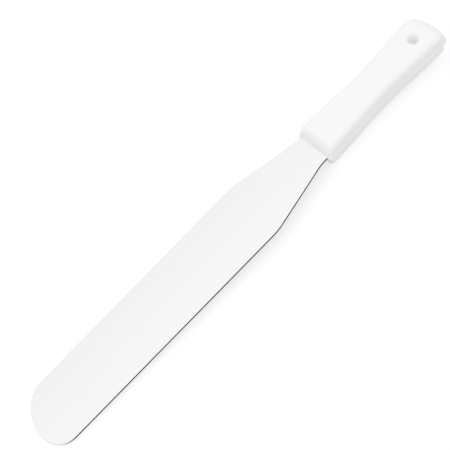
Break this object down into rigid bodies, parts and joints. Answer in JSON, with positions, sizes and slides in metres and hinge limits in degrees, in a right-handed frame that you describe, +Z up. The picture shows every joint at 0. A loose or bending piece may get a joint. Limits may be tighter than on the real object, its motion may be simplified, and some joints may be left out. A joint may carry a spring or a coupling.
{
  "type": "icing spatula",
  "caption": "Long straight icing spatula: a flat round-tipped steel blade with a tapered neck, its tang moulded into a waisted white plastic handle with a hanging hole.",
  "frame": {"origin": "under the middle of the overall length, on the plane that the handle's flat underside rests on", "axes": "+X along the spatula from the blade's tip to the handle's butt with the hanging hole, +Z up, square to the flat of the blade, +Y across the blade"},
  "size_m": [0.436, 0.055, 0.0225],
  "materials": {
    "steel": "stainless spring steel, fine satin ground along its length, edges broken and darker",
    "handle_plastic": "white injection-moulded polypropylene, satin, with a mould parting line at the blade's level"
  },
  "bodies": {
    "root": {"blade": "steel", "handle": "handle_plastic"}
  },
  "joints": []
}
